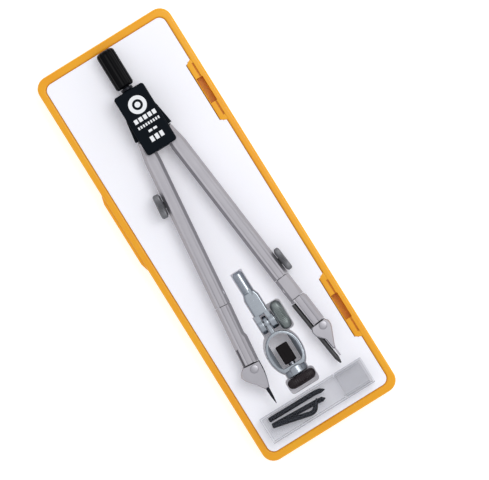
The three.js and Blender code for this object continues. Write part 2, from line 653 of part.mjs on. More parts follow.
function clampJaw() {
  const { jawHalf, jawTop, jawEnd, jawHeight, screw, seat } = CLAMP;
  const shape = roundedRect(-jawHalf, jawHalf, jawEnd, jawTop, 0.6);
  const pad = plate(shape, -jawHeight, jawHeight, 0.3, 0.3, 3);
  return cut(pad, rod(screw + GAP, jawEnd - PAST, jawEnd + seat, "y", 20));
}

function knob(radius, from, to, axis, hole, depth) {
  const body = chamferedRod(radius, from, to, CLAMP.knobEdge, axis, 32);
  return cut(body, rod(hole, from - PAST, from + depth, axis, 20));
}

function buildPenHolder(parent) {
  const holder = frameAt(parent, HOLDER.x, HOLDER.y, HOLDER.z);
  piece("holder_shank", holderShank(), metal(COLOUR.holder), holder);
  piece("holder_ring", holderRing(), metal(COLOUR.holder), holder);
  const bolt = chamferedRod(EAR.bolt, EAR.left[0] + 0.1, EAR.boltEnd, 0.2, "x", 20);
  piece("holder_hinge_bolt", bolt, metal(COLOUR.steel), holder);
  const { knobHole, knobEnd, screw: screwRadius, jawEnd, seat } = CLAMP;
  const { radius, x0, x1 } = THUMB_KNOB;
  piece("holder_thumb_knob", knob(radius, x0, x1, "x", EAR.hole, knobHole), metal(COLOUR.knob), holder);
  piece("holder_jaw", clampJaw(), plastic(COLOUR.rubber, 0.6), holder);
  const screw = chamferedRod(screwRadius, knobEnd + knobHole, jawEnd + seat - GAP, 0.2, "y", 20);
  piece("holder_clamp_screw", screw, metal(COLOUR.steel), holder);
  const clampKnob = knob(CLAMP.knob, GAP - NECK.end, -knobEnd, "y", screwRadius + GAP, knobHole);
  piece("holder_clamp_knob", clampKnob.rotateZ(Math.PI), plastic(COLOUR.rubber), holder);
}

// ---- box of spare points ----
function boxSection(inset) {
  const { y0, y1, z0, height, corner } = BOX;
  return roundedRect(y0 + inset, y1 - inset, z0 + inset, z0 + height - inset, corner);
}

// A bar along X with a YZ section.
function barAlongX(section, x0, x1) {
  return plate(section, x0, x1, 0, 0, 3).rotateX(Math.PI / 2).rotateZ(Math.PI / 2);
}

function sparesTube() {
  const { x0, x1, join: seam, wall, capWall, spigotWall } = BOX;
  const body = barAlongX(boxSection(0), x0, seam - GAP);
  const spigot = barAlongX(boxSection(capWall + GAP), seam - 2, x1 - capWall - 1);
  const bodyHollow = barAlongX(boxSection(wall), x0 + wall, seam - 1);
  const spigotHollow = barAlongX(boxSection(capWall + GAP + spigotWall), seam - 2, x1);
  return cut(join(body, spigot), bodyHollow, spigotHollow);
}

function sparesCap() {
  const { x1, join: seam, capWall } = BOX;
  const hollow = barAlongX(boxSection(capWall), seam - PAST, x1 - capWall);
  return cut(barAlongX(boxSection(0), seam, x1), hollow);
}

// A cranked steel point: a straight shank, an elbow and a short tapered end.
function sparePoint(places) {
  const [a, b, c] = places.map((p) => new THREE.Vector3(...p));
  const taper = (from, to, r0, r1) => {
    const along = to.clone().sub(from);
    const length = along.length();
    const cone = new THREE.CylinderGeometry(r1, r0, length, SPARE.sides).translate(0, length / 2, 0);
    const turn = new THREE.Quaternion().setFromUnitVectors(new THREE.Vector3(0, 1, 0), along.normalize());
    return cone.applyQuaternion(turn).translate(from.x, from.y, from.z);
  };
  const { radius, sides, tip } = SPARE;
  const elbow = new THREE.SphereGeometry(radius, sides, 6).translate(b.x, b.y, b.z);
  return join(taper(a, b, radius, radius), elbow, taper(b, c, radius, tip));
}

function buildSpares(parent) {
  piece("spares_tube", sparesTube(), plastic(COLOUR.clear), parent);
  piece("spares_cap", sparesCap(), plastic(COLOUR.clear), parent);
  SPARE_POINTS.forEach((points, i) => {
    piece(`spare_point_${i + 1}`, sparePoint(points), metal(COLOUR.darkSteel), parent);
  });
}

const set = new THREE.Group();
buildCase(set);
buildCompass(set);
buildPenHolder(set);
buildSpares(set);

export default set;
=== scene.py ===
import json
import math

import bmesh
import bpy
from mathutils import Matrix, Vector


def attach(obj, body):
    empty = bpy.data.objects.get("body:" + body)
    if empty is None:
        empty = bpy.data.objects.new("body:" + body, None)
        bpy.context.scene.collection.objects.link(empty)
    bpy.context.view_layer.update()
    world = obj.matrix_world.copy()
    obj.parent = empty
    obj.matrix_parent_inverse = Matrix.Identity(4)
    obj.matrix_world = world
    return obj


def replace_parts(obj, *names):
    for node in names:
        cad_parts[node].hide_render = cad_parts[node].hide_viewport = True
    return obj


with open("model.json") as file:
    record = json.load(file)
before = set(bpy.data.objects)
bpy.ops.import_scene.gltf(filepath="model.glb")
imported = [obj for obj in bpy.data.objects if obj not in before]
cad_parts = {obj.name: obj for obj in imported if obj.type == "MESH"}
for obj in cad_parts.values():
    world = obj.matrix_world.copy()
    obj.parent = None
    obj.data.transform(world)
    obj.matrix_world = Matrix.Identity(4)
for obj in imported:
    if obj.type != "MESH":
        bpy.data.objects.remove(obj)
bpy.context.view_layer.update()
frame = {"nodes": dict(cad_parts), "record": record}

# Sizes below are in millimetres in the row frame: +Z up, +Y towards the compass's handle.
MM = 0.001
record = frame["record"]
BODY_OF = {n: body for body, names in record["behaviour"]["bodies"].items() for n in names}


# ---------------------------------------------------------------- materials

def paint(code):
    """An sRGB hex colour as linear RGBA."""
    channels = [int(code[i:i + 2], 16) / 255 for i in (1, 3, 5)]
    return [c / 12.92 if c <= 0.04045 else ((c + 0.055) / 1.055) ** 2.4 for c in channels] + [1.0]


def add(tree, kind, settings=None, links=None):
    """Adds a node: settings name its properties or its inputs, links join its inputs to other outputs."""
    node = tree.nodes.new(kind)
    for key, value in (settings or {}).items():
        if isinstance(key, str) and hasattr(node, key):
            setattr(node, key, value)
        else:
            node.inputs[key].default_value = value
    for key, output in (links or {}).items():
        tree.links.new(output, node.inputs[key])
    return node


def pattern_space(tree, stretch=(1, 1, 1), turn=0.0):
    """Object coordinates in millimetres, stretched along the row's axes and turned about +Z."""
    where = add(tree, "ShaderNodeTexCoord")
    scale = [s / MM for s in stretch]
    upright = add(tree, "ShaderNodeMapping", {"vector_type": "POINT", "Rotation": (0, 0, turn)},
                  {"Vector": where.outputs["Object"]})
    return add(tree, "ShaderNodeMapping", {"vector_type": "POINT", "Scale": scale},
               {"Vector": upright.outputs["Vector"]}).outputs["Vector"]


def surface(name, base, tones, cloud, grain, relief, rough, stretch=(1, 1, 1), turn=0.0):
    """A node material with two close tones in clouds of `cloud` mm, and a grain of `grain` mm
    that raises the surface by `relief` mm and moves the roughness between the two values of rough.
    base holds the shader's constant settings."""
    material = bpy.data.materials.new(name)
    material.use_nodes = True
    tree = material.node_tree
    tree.nodes.clear()
    flat = pattern_space(tree)
    drawn = pattern_space(tree, stretch, turn)
    clouds = add(tree, "ShaderNodeTexNoise", {"Scale": 1 / cloud, "Detail": 3.0}, {"Vector": flat})
    grains = add(tree, "ShaderNodeTexNoise", {"Scale": 1 / grain, "Detail": 2.0}, {"Vector": drawn})
    tone = add(tree, "ShaderNodeMix", {"data_type": "RGBA", 6: paint(tones[0]), 7: paint(tones[1])},
               {"Factor": clouds.outputs["Fac"]})
    rougher = add(tree, "ShaderNodeMapRange", {"To Min": rough[0], "To Max": rough[1]},
                  {"Value": grains.outputs["Fac"]})
    bump = add(tree, "ShaderNodeBump", {"Strength": 1.0, "Distance": relief * MM},
               {"Height": grains.outputs["Fac"]})
    shader = add(tree, "ShaderNodeBsdfPrincipled", base, {
        "Base Color": tone.outputs[2], "Roughness": rougher.outputs["Result"],
        "Normal": bump.outputs["Normal"],
    })
    add(tree, "ShaderNodeOutputMaterial", None, {"Surface": shader.outputs["BSDF"]})
    return material


METAL = {"Metallic": 1.0}
# Leg frames are turned from +Y by these angles, in radians.
LEG_TURN = {"left": math.radians(-0.2 - 5.95), "right": math.radians(-0.2 + 5.95)}

# Injection-moulded ABS, polished mould: a deep gloss with the faint unevenness of the mould's surface.
CASE_ABS = surface("case_moulded_abs", {
    "IOR": 1.54, "Specular IOR Level": 0.25, "Coat Weight": 0.1, "Coat Roughness": 0.08,
}, ("#F09A14", "#F8B828"), 22, 2.4, 0.012, (0.2, 0.3))
# Vacuum-formed high-impact polystyrene: white, soft sheen, a slight orange-peel from the warm mould.
# Its faint emission is painted light: a glow that lightens the shade in its wells, so that they stay pale.
LINER_POLYSTYRENE_PAINTED_GLOW = surface("liner_polystyrene_painted_glow", {
    "IOR": 1.59, "Subsurface Weight": 0.05, "Emission Strength": 0.13, "Emission Color": paint("#F6F5FA"),
}, ("#F1F1F5", "#F6F5F9"), 30, 1.4, 0.010, (0.42, 0.52))
# Moulded acetal for the head: nearly black with a navy cast, finely spark-eroded mould.
HEAD_ACETAL = surface("head_moulded_acetal", {"IOR": 1.48, "Specular IOR Level": 0.08},
                      ("#00060D", "#020C16"), 9, 0.35, 0.006, (0.34, 0.46))
# The same plastic in plain black on the grip, more worn and so shinier on its ridges.
GRIP_NYLON = surface("grip_moulded_nylon", {"IOR": 1.53, "Specular IOR Level": 0.07},
                     ("#030305", "#060709"), 7, 0.3, 0.006, (0.3, 0.44))
# Pad-printing ink: opaque white, thin and matt.
PRINT_INK = surface("white_print_ink", {"IOR": 1.5},
                    ("#E9ECEE", "#F3F5F6"), 3, 0.2, 0.003, (0.5, 0.62))
# Zinc legs drawn through a linishing belt along their length, then satin nickel plated.
# The belt lines are about 0.05 mm apart in life, and are drawn at 0.22 mm so that they show:
# a soft grey sheen across the legs, and no mirror image of anything round them.
SATIN_NICKEL = {
    side: surface(f"satin_nickel_{side}", METAL, ("#A4A2A7", "#B4B2B6"), 14, 0.22, 0.006, (0.46, 0.6),
                  (1, 0.035, 1), -LEG_TURN[side])
    for side in LEG_TURN
}
# Tip holders are tumbled before plating, so they have no direction.
TUMBLED_NICKEL = surface("tumbled_nickel", METAL, ("#A5A3A8", "#B3B2B7"), 6, 0.4, 0.006, (0.34, 0.46))
# Turned and knurled brass, dull nickel plated and grey with handling.
KNURLED_NICKEL = surface("knurled_dull_nickel", METAL, ("#77777A", "#86878A"), 4, 0.25, 0.008, (0.34, 0.5))
# The holder's knob is knurled brass under a thin dull nickel, a little green where it's worn.
HOLDER_KNOB_NICKEL = surface("holder_knob_dull_nickel", METAL,
                             ("#7F8886", "#959C9B"), 4, 0.25, 0.008, (0.32, 0.46))
# The pen holder is polished before it's plated: a cooler, brighter nickel.
BRIGHT_NICKEL = surface("bright_nickel", METAL, ("#A6ADB4", "#B3BAC0"), 8, 0.6, 0.003, (0.2, 0.3))
# Inside the stirrup the faces are a dull blue-grey with hardly a metal's shine; the tone, darker than the
# nickel outside, is painted shade for the shadowed inside of the ring.
STIRRUP_INSIDE_DULL_PAINTED_SHADE = surface("stirrup_inside_dull_painted_shade", {"Metallic": 0.2},
                    ("#858C95", "#959CA5"), 5, 0.4, 0.010, (0.55, 0.7))
# Turned steel with fine rings left by the tool.
TURNED_STEEL = surface("turned_steel", METAL, ("#C3C5CA", "#CFD1D5"), 3, 0.15, 0.004, (0.2, 0.32))
# Chemically blackened steel, oiled: dark with a blue cast.
BLACKENED_STEEL = surface("blackened_steel", {"Metallic": 0.7},
                          ("#12141B", "#1B1E26"), 3, 0.2, 0.004, (0.28, 0.42))
# Pencil graphite: black-grey with a soft burnished sheen.
GRAPHITE = surface("burnished_graphite", {"Metallic": 0.15, "IOR": 1.8},
                   ("#131316", "#1C1C20"), 2, 0.18, 0.006, (0.34, 0.5))
# Moulded nitrile rubber: matt black.
RUBBER = surface("moulded_rubber", {"IOR": 1.52, "Specular IOR Level": 0.15},
                 ("#0A0608", "#120C0E"), 4, 0.3, 0.010, (0.55, 0.7))
# Phenolic knob: brown-black, satin.
KNOB_PHENOLIC = surface("knob_phenolic", {"IOR": 1.6, "Specular IOR Level": 0.25},
                        ("#1F181B", "#2A2124"), 5, 0.3, 0.006, (0.38, 0.5))
# Moulded general-purpose polystyrene: clear and thin-walled, so what lies in it is seen straight
# through, with a faint grey haze from handling. Its edges and steep walls catch the light.
CLEAR_POLYSTYRENE = surface("clear_moulded_polystyrene", {"IOR": 1.59},
                            ("#8A8F98", "#989DA6"), 12, 1.2, 0.004, (0.08, 0.16))


def see_through(material, face_on, edge_on):
    """Makes a material clear: how opaque it is face on, and where it's seen edge on."""
    tree = material.node_tree
    steep = add(tree, "ShaderNodeLayerWeight", {"Blend": 0.3})
    haze = add(tree, "ShaderNodeMapRange", {"To Min": face_on, "To Max": edge_on},
               {"Value": steep.outputs["Facing"]})
    shader = next(node for node in tree.nodes if node.bl_idname == "ShaderNodeBsdfPrincipled")
    tree.links.new(haze.outputs["Result"], shader.inputs["Alpha"])


see_through(CLEAR_POLYSTYRENE, 0.03, 0.75)


# ---------------------------------------------------------------- mesh work

def mesh_from(verts, faces):
    """A closed mesh from points in millimetres, its doubles merged and its faces turned outwards."""
    bm = bmesh.new()
    made = [bm.verts.new([c * MM for c in p]) for p in verts]
    for face in faces:
        bm.faces.new([made[i] for i in face])
    return tidy_mesh(bm)


def tidy_mesh(bm):
    bmesh.ops.remove_doubles(bm, verts=bm.verts, dist=1e-7)
    bmesh.ops.dissolve_degenerate(bm, edges=bm.edges, dist=1e-7)
    bmesh.ops.recalc_face_normals(bm, faces=bm.faces)
    mesh = bpy.data.meshes.new("work")
    bm.to_mesh(mesh)
    bm.free()
    return mesh


def as_object(mesh):
    """A mesh as an object in the scene, to be finished by modifiers."""
    made = bpy.data.objects.new("work", mesh)
    bpy.context.scene.collection.objects.link(made)
    return made


def settled(obj):
    """The object's mesh with its modifiers applied. The object itself is removed."""
    bpy.context.view_layer.update()
    evaluated = obj.evaluated_get(bpy.context.evaluated_depsgraph_get())
    mesh = bpy.data.meshes.new_from_object(evaluated)
    bpy.data.objects.remove(obj)
    return mesh


def rounded(mesh, width, segments=3, angle=28):
    """The mesh with every edge sharper than angle rounded by width millimetres."""
    obj = as_object(mesh)
    bevel = obj.modifiers.new("edge", "BEVEL")
    bevel.width = width * MM
    bevel.segments = segments
    bevel.limit_method = "ANGLE"
    bevel.angle_limit = math.radians(angle)
    bevel.miter_outer = "MITER_ARC"
    return settled(obj)


def combined(mesh, operation, *tools):
    """The mesh joined with ("UNION") or cut by ("DIFFERENCE") each of the tools."""
    obj = as_object(mesh)
    helpers = [as_object(tool) for tool in tools]
    for helper in helpers:
        step = obj.modifiers.new("cut", "BOOLEAN")
        step.operation, step.solver, step.object = operation, "EXACT", helper
    result = settled(obj)
    for helper in helpers:
        bpy.data.objects.remove(helper)
    return result


def stacked(*meshes):
    """Separate meshes as one."""
    bm = bmesh.new()
    for mesh in meshes:
        bm.from_mesh(mesh)
    result = bpy.data.meshes.new("work")
    bm.to_mesh(result)
    bm.free()
    return result


def placed(mesh, *matrices):
    for matrix in matrices:
        mesh.transform(matrix)
    return mesh


def at(x, y, z):
    return Matrix.Translation(Vector((x, y, z)) * MM)


def turned_about(degrees, axis):
    return Matrix.Rotation(math.radians(degrees), 4, axis)


def from_cad(node, flat_faces=True):
    """A copy of a CAD node, with its triangles merged into flat faces unless told not to."""
    bm = bmesh.new()
    bm.from_mesh(frame["nodes"][node].data)
    bmesh.ops.remove_doubles(bm, verts=bm.verts, dist=2e-6)
    if flat_faces:
        bmesh.ops.dissolve_limit(bm, angle_limit=math.radians(0.6), verts=bm.verts, edges=bm.edges)
    return tidy_mesh(bm)


def evenly_shaded(mesh):
    """The mesh with its normals weighted by area, so that a flat face looks flat to its edges."""
    obj = as_object(mesh)
    weighted = obj.modifiers.new("shading", "WEIGHTED_NORMAL")
    weighted.keep_sharp = True
    return settled(obj)


def keep(name, mesh, material, *nodes, smooth=32, lining=None, lined=None):
    """Makes a finished piece that rides with, and stands for, these CAD nodes. The faces whose
    centres pass the test lined take the material lining."""
    mesh.materials.clear()
    mesh.materials.append(material)
    if lining:
        mesh.materials.append(lining)
    inside = [int(bool(lined and lined(face.center))) for face in mesh.polygons]
    mesh.polygons.foreach_set("material_index", inside)
    mesh.polygons.foreach_set("use_smooth", [True] * len(mesh.polygons))
    mesh.set_sharp_from_angle(angle=math.radians(smooth))
    mesh = evenly_shaded(mesh)
    mesh.name = name
    obj = bpy.data.objects.new(name, mesh)
    bpy.context.scene.collection.objects.link(obj)
    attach(obj, BODY_OF[nodes[0]])
    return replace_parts(obj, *nodes)


def rounded_rect(half_x, half_y, radius, steps=10):
    """Points of a rounded rectangle about the origin."""
    points = []
    for corner, (sx, sy) in enumerate(((1, 1), (-1, 1), (-1, -1), (1, -1))):
        for i in range(steps + 1):
            angle = math.pi / 2 * (corner + i / steps)
            points.append((sx * (half_x - radius) + radius * math.cos(angle),
                           sy * (half_y - radius) + radius * math.sin(angle)))
    return points


def loft(sections):
    """A closed solid through sections of equal point counts, capped at both ends."""
    count = len(sections[0])
    verts = [p for section in sections for p in section]
    faces = [list(range(count))[::-1], list(range(len(verts) - count, len(verts)))]
    for s in range(len(sections) - 1):
        for i in range(count):
            j = (i + 1) % count
            faces.append([s * count + i, s * count + j, (s + 1) * count + j, (s + 1) * count + i])
    return mesh_from(verts, faces)


def slab(half_x, half_y, corner, z0, z1, edge, steps=4):
    """A rounded rectangle from z0 to z1 with its top and bottom edges rounded."""
    sections = []
    for z, side in ((z0 + edge, -1), (z1 - edge, 1)):
        angles = [math.pi / 2 * i / steps for i in range(steps + 1)]
        for a in (angles[::-1] if side < 0 else angles):
            inset = edge * (1 - math.cos(a))
            ring = rounded_rect(half_x - inset, half_y - inset, max(corner - inset, 0.05))
            sections.append([(x, y, z + side * edge * math.sin(a)) for x, y in ring])
    return loft(sections)


# ---------------------------------------------------------------- Geometry Nodes tools

def node_tool(name, inputs):
    """A Geometry Nodes tree with these named inputs. Returns the tree and its input node."""
    tree = bpy.data.node_groups.new(name, "GeometryNodeTree")
    tree.interface.new_socket("Geometry", in_out="INPUT", socket_type="NodeSocketGeometry")
    for label, (kind, default) in inputs.items():
        socket = tree.interface.new_socket(label, in_out="INPUT", socket_type=kind)
        if default is not None:
            socket.default_value = default
    tree.interface.new_socket("Geometry", in_out="OUTPUT", socket_type="NodeSocketGeometry")
    return tree, add(tree, "NodeGroupInput")


def close_tool(tree, given, geometry):
    """Ends a tree in Realize Instances and Set Material."""
    real = add(tree, "GeometryNodeRealizeInstances", None, {"Geometry": geometry})
    dressed = add(tree, "GeometryNodeSetMaterial", None,
                  {"Geometry": real.outputs["Geometry"], "Material": given.outputs["Finish"]})
    add(tree, "NodeGroupOutput", None, {"Geometry": dressed.outputs["Geometry"]})
    return tree


def run_tool(tree, mesh, **values):
    """The mesh that a tree makes from the given one. Underscores in a value's name stand for spaces."""
    obj = as_object(mesh)
    modifier = obj.modifiers.new("tool", "NODES")
    modifier.node_group = tree
    names = {item.name: item.identifier for item in tree.interface.items_tree if item.in_out == "INPUT"}
    for label, value in values.items():
        modifier[names[label.replace("_", " ")]] = value
    return settled(obj)


def calc(tree, operation, a, b=None, c=None):
    """A Math node on numbers or outputs."""
    node = add(tree, "ShaderNodeMath", {"operation": operation})
    for i, value in enumerate((a, b, c)):
        if isinstance(value, (int, float)):
            node.inputs[i].default_value = value
        elif value is not None:
            tree.links.new(value, node.inputs[i])
    return node.outputs["Value"]


def turning_tool():
    """Spins a profile, given as a line of points with X as radius and Z as height, about Z.
    Where the radius passes Ribbed From, its skin is scalloped into Ribs of Rib Depth."""
    tree, given = node_tool("turning_with_ribs", {
        "Sides": ("NodeSocketInt", 64), "Ribs": ("NodeSocketInt", 0),
        "Rib Depth": ("NodeSocketFloat", 0.0), "Ribbed From": ("NodeSocketFloat", 1.0),
        "Finish": ("NodeSocketMaterial", None),
    })
    out = given.outputs
    points = add(tree, "GeometryNodeAttributeDomainSize", {"component": "MESH"},
                 {"Geometry": out["Geometry"]})
    columns = calc(tree, "ADD", out["Sides"], 1)
    grid = add(tree, "GeometryNodeMeshGrid", {"Size X": 1.0, "Size Y": 1.0}, {
        "Vertices X": points.outputs["Point Count"], "Vertices Y": columns,
    })
    index = add(tree, "GeometryNodeInputIndex").outputs["Index"]
    row = calc(tree, "FLOOR", calc(tree, "DIVIDE", calc(tree, "ADD", index, 0.5), columns))
    column = calc(tree, "SUBTRACT", index, calc(tree, "MULTIPLY", row, columns))
    angle = calc(tree, "MULTIPLY", calc(tree, "DIVIDE", column, out["Sides"]), 2 * math.pi)
    position = add(tree, "GeometryNodeInputPosition").outputs["Position"]
    profile = add(tree, "GeometryNodeSampleIndex", {"data_type": "FLOAT_VECTOR", "domain": "POINT"}, {
        "Geometry": out["Geometry"], "Value": position, "Index": row,
    })
    parts = add(tree, "ShaderNodeSeparateXYZ", None, {"Vector": profile.outputs["Value"]}).outputs
    wave = calc(tree, "COSINE", calc(tree, "MULTIPLY", angle, out["Ribs"]))
    half_depth = calc(tree, "MULTIPLY", out["Rib Depth"], 0.5)
    scallop = calc(tree, "MULTIPLY", calc(tree, "SUBTRACT", 1, wave), half_depth)
    ribbed = calc(tree, "GREATER_THAN", parts["X"], out["Ribbed From"])
    radius = calc(tree, "SUBTRACT", parts["X"], calc(tree, "MULTIPLY", scallop, ribbed))
    spot = add(tree, "ShaderNodeCombineXYZ", None, {
        "X": calc(tree, "MULTIPLY", radius, calc(tree, "COSINE", angle)),
        "Y": calc(tree, "MULTIPLY", radius, calc(tree, "SINE", angle)),
        "Z": parts["Z"],
    })
    spun = add(tree, "GeometryNodeSetPosition", None,
               {"Geometry": grid.outputs["Mesh"], "Position": spot.outputs["Vector"]})
    sewn = add(tree, "GeometryNodeMergeByDistance", {"Distance": 1e-6},
               {"Geometry": spun.outputs["Geometry"]})
    return close_tool(tree, given, sewn.outputs["Geometry"])


def marks_tool():
    """A row of short flat bars along X, centred on the origin, for printed dashes."""
    tree, given = node_tool("row_of_marks", {
        "Count": ("NodeSocketInt", 5), "Pitch": ("NodeSocketFloat", 0.002),
        "Length": ("NodeSocketFloat", 0.0015), "Height": ("NodeSocketFloat", 0.001),
        "Thickness": ("NodeSocketFloat", 0.0001),
        "Finish": ("NodeSocketMaterial", None),
    })
    out = given.outputs
    span = calc(tree, "MULTIPLY", out["Pitch"], calc(tree, "SUBTRACT", out["Count"], 1))
    start = add(tree, "ShaderNodeCombineXYZ", None, {"X": calc(tree, "MULTIPLY", span, -0.5)})
    step = add(tree, "ShaderNodeCombineXYZ", None, {"X": out["Pitch"]})
    places = add(tree, "GeometryNodeMeshLine", {"mode": "OFFSET"}, {
        "Count": out["Count"], "Start Location": start.outputs["Vector"], "Offset": step.outputs["Vector"],
    })
    size = add(tree, "ShaderNodeCombineXYZ", None,
               {"X": out["Length"], "Y": out["Height"], "Z": out["Thickness"]})
    bar = add(tree, "GeometryNodeMeshCube", None, {"Size": size.outputs["Vector"]})
    row = add(tree, "GeometryNodeInstanceOnPoints", None,
              {"Points": places.outputs["Mesh"], "Instance": bar.outputs["Mesh"]})
    return close_tool(tree, given, row.outputs["Instances"])


def slot_tool():
    """Cuts a screwdriver slot along X across the top of a screw head that faces +Z at Top."""
    tree, given = node_tool("screwdriver_slot", {
        "Slot Width": ("NodeSocketFloat", 0.0006), "Slot Depth": ("NodeSocketFloat", 0.0005),
        "Slot Length": ("NodeSocketFloat", 0.01), "Top": ("NodeSocketFloat", 0.0),
        "Finish": ("NodeSocketMaterial", None),
    })
    out = given.outputs
    size = add(tree, "ShaderNodeCombineXYZ", None, {
        "X": out["Slot Length"], "Y": out["Slot Width"], "Z": calc(tree, "MULTIPLY", out["Slot Depth"], 2),
    })
    place = add(tree, "ShaderNodeCombineXYZ", None, {"Z": out["Top"]})
    blade = add(tree, "GeometryNodeMeshCube", None, {"Size": size.outputs["Vector"]})
    blade = add(tree, "GeometryNodeTransform", None,
                {"Geometry": blade.outputs["Mesh"], "Translation": place.outputs["Vector"]})
    cut = add(tree, "GeometryNodeMeshBoolean", {"operation": "DIFFERENCE"})
    tree.links.new(out["Geometry"], cut.inputs["Mesh 1"])
    tree.links.new(blade.outputs["Geometry"], cut.inputs["Mesh 2"])
    return close_tool(tree, given, cut.outputs["Mesh"])


TURNING = turning_tool()
MARKS = marks_tool()
SLOTTING = slot_tool()


def spin(profile, material, sides=72, ribs=0, rib_depth=0.0, ribbed_from=99.0):
    """A turned piece about Z from [radius, height] pairs in millimetres, closed at both ends."""
    line = bpy.data.meshes.new("profile")
    steps = [(i, i + 1) for i in range(len(profile) - 1)]
    line.from_pydata([(r * MM, 0, h * MM) for r, h in profile], steps, [])
    spun = run_tool(TURNING, line, Sides=sides, Ribs=ribs, Rib_Depth=rib_depth * MM,
                    Ribbed_From=ribbed_from * MM, Finish=material)
    bm = bmesh.new()
    bm.from_mesh(spun)
    return tidy_mesh(bm)


def soft_profile(corners, radius=0.25, steps=4):
    """Rounds the inner corners of a profile of [radius, height] pairs."""
    points = [Vector(c) for c in corners]
    result = [tuple(points[0])]
    for before, corner, after in zip(points, points[1:], points[2:]):
        a, b = before - corner, after - corner
        reach = min(radius, a.length * 0.45, b.length * 0.45)
        start, end = corner + a.normalized() * reach, corner + b.normalized() * reach
        for i in range(steps + 1):
            t = i / steps
            result.append(tuple(start * (1 - t) ** 2 + corner * 2 * t * (1 - t) + end * t * t))
    return result + [tuple(points[-1])]


# Turned pieces are made about Z and then laid along the axis they have in the set.
ALONG_Y = turned_about(-90, "X")  # +Z of the turning goes to +Y
ALONG_X = turned_about(90, "Y")  # +Z of the turning goes to +X


# ---------------------------------------------------------------- case

TRAY = {"half_x": 32.75, "half_y": 95.0, "top": 14.8, "corner": 5.5, "rim": 3.1, "end_rim": 3.5}
SLOTS = (54.4, -53.6)


def tray_section(inset, z, corner, ends=0.0):
    """The tray's outline at a height, inset from its outside by inset, and by ends more at its ends."""
    ring = rounded_rect(TRAY["half_x"] - inset, TRAY["half_y"] - inset - ends, corner, 14)
    return [(x, y, z) for x, y in ring]


def case_tray():
    top, rim, more = TRAY["top"], TRAY["rim"], TRAY["end_rim"] - TRAY["rim"]
    foot, crown, lip = 1.4, 1.15, 0.7
    sections = [tray_section(foot + 0.4, 0.0, TRAY["corner"] - foot - 0.4)]
    for i in range(7):  # rounded foot
        a = math.pi / 2 * i / 6
        inset = foot * (1 - math.sin(a))
        sections.append(tray_section(inset, foot * (1 - math.cos(a)), TRAY["corner"] - inset))
    for i in range(9):  # the rim's outer shoulder
        a = math.pi / 2 * i / 8
        sections.append(tray_section(crown * (1 - math.cos(a)), top - crown * (1 - math.sin(a)),
                                     TRAY["corner"] - crown * (1 - math.cos(a))))
    for i in range(7):  # the rim's inner shoulder
        a = math.pi / 2 * i / 6
        back = lip * (1 - math.sin(a))
        sections.append(tray_section(rim - back, top - lip * (1 - math.cos(a)), 3.5 + back, more))
    sections += [tray_section(rim, top - 1.5, 3.5, more), tray_section(rim + 1.4, top - 1.6, 2.4, more),
                 tray_section(rim + 1.5, top - 1.8, 2.3, more), tray_section(rim + 1.6, 2.2, 2.2, more),
                 tray_section(rim + 2.1, 1.8, 1.8, more)]
    return loft(sections)


def prism(points, z0, z1):
    """A flat outline in X and Y given thickness."""
    return loft([[(x, y, z) for x, y in points] for z in (z0, z1)])


def box_between(x0, x1, y0, y1, z0, z1):
    return prism([(x0, y0), (x1, y0), (x1, y1), (x0, y1)], z0, z1)


def build_tray():
    body = case_tray()
    inner, chamfer = 27.0, 1.8
    blocks = []
    for y0, y1 in ((39, 69), (-69, -37.5)):
        outline = [(30.2, y0), (30.2, y1), (inner + 0.6, y1), (inner, y1 - chamfer),
                   (inner, y0 + chamfer), (inner + 0.6, y0)]
        blocks.append(rounded(prism(outline, 1.2, TRAY["top"] - 0.2), 0.5, 4))
    ledge = [(-31.9, 2), (-32.75, 2), (-33.85, 6), (-33.85, 36), (-32.75, 40), (-31.9, 40)]
    blocks.append(rounded(prism(ledge, 10.6, 13.4), 0.35, 3))
    body = combined(body, "UNION", *blocks)
    cuts = []
    for y in SLOTS:
        cuts.append(box_between(29.2, 30.0, y - 12.75, y + 12.75, TRAY["top"] - 1.6, 20))
        cuts.append(rounded(box_between(27.4, 30.4, y - 6, y + 6, TRAY["top"] - 6, 20), 0.3, 3))
    keep("case_tray_moulding", combined(body, "DIFFERENCE", *cuts), CASE_ABS, "case_tray")


def build_liner():
    sheet = rounded(from_cad("case_liner", False), 0.3, 3)
    keep("case_liner_sheet", sheet, LINER_POLYSTYRENE_PAINTED_GLOW, "case_liner")


# ---------------------------------------------------------------- compass head

HEAD_PLACE = at(0.2, 59.6, 20.6) @ turned_about(-0.2, "Z")
HEAD = {"half_x": 7.2, "y0": -16.6, "y1": 11.5, "back": -5.7, "front": 5.7, "plate": 2.2, "corner": 1.3}


def head_slab(z0, z1, edge):
    mid = (HEAD["y0"] + HEAD["y1"]) / 2
    half_y = (HEAD["y1"] - HEAD["y0"]) / 2
    return placed(slab(HEAD["half_x"], half_y, HEAD["corner"], z0, z1, edge), at(0, mid, 0))


def in_head(mesh, *matrices):
    return placed(mesh, *matrices, HEAD_PLACE)


